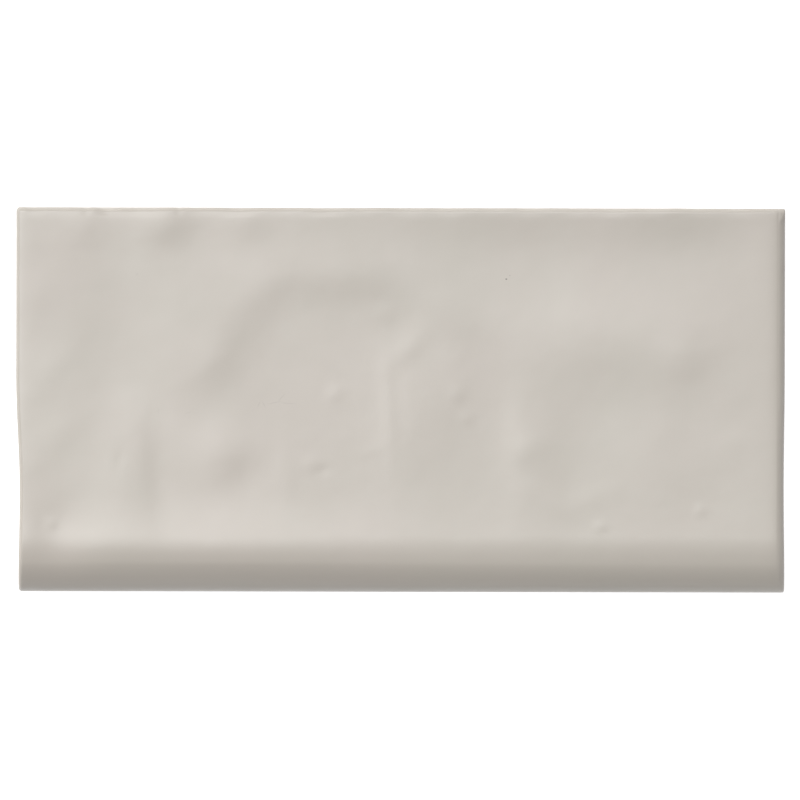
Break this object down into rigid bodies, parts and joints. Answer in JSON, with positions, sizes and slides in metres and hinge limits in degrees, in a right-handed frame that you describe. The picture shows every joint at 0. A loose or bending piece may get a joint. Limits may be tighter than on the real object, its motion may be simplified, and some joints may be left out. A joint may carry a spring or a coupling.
{
  "type": "ceramic wall tile",
  "caption": "Rectangular glazed ceramic wall tile with one rounded long edge, a softly waved face and a grooved back for adhesive.",
  "frame": {"origin": "middle of the back face, which lies on the floor", "axes": "+X along the length, +Y towards the square long edge, +Z out of the glazed face; the rounded long edge is at -Y"},
  "size_m": [0.15, 0.075, 0.0089],
  "materials": {
    "glaze": "satin"
  },
  "bodies": {
    "root": {"tile": "glaze"}
  },
  "joints": []
}
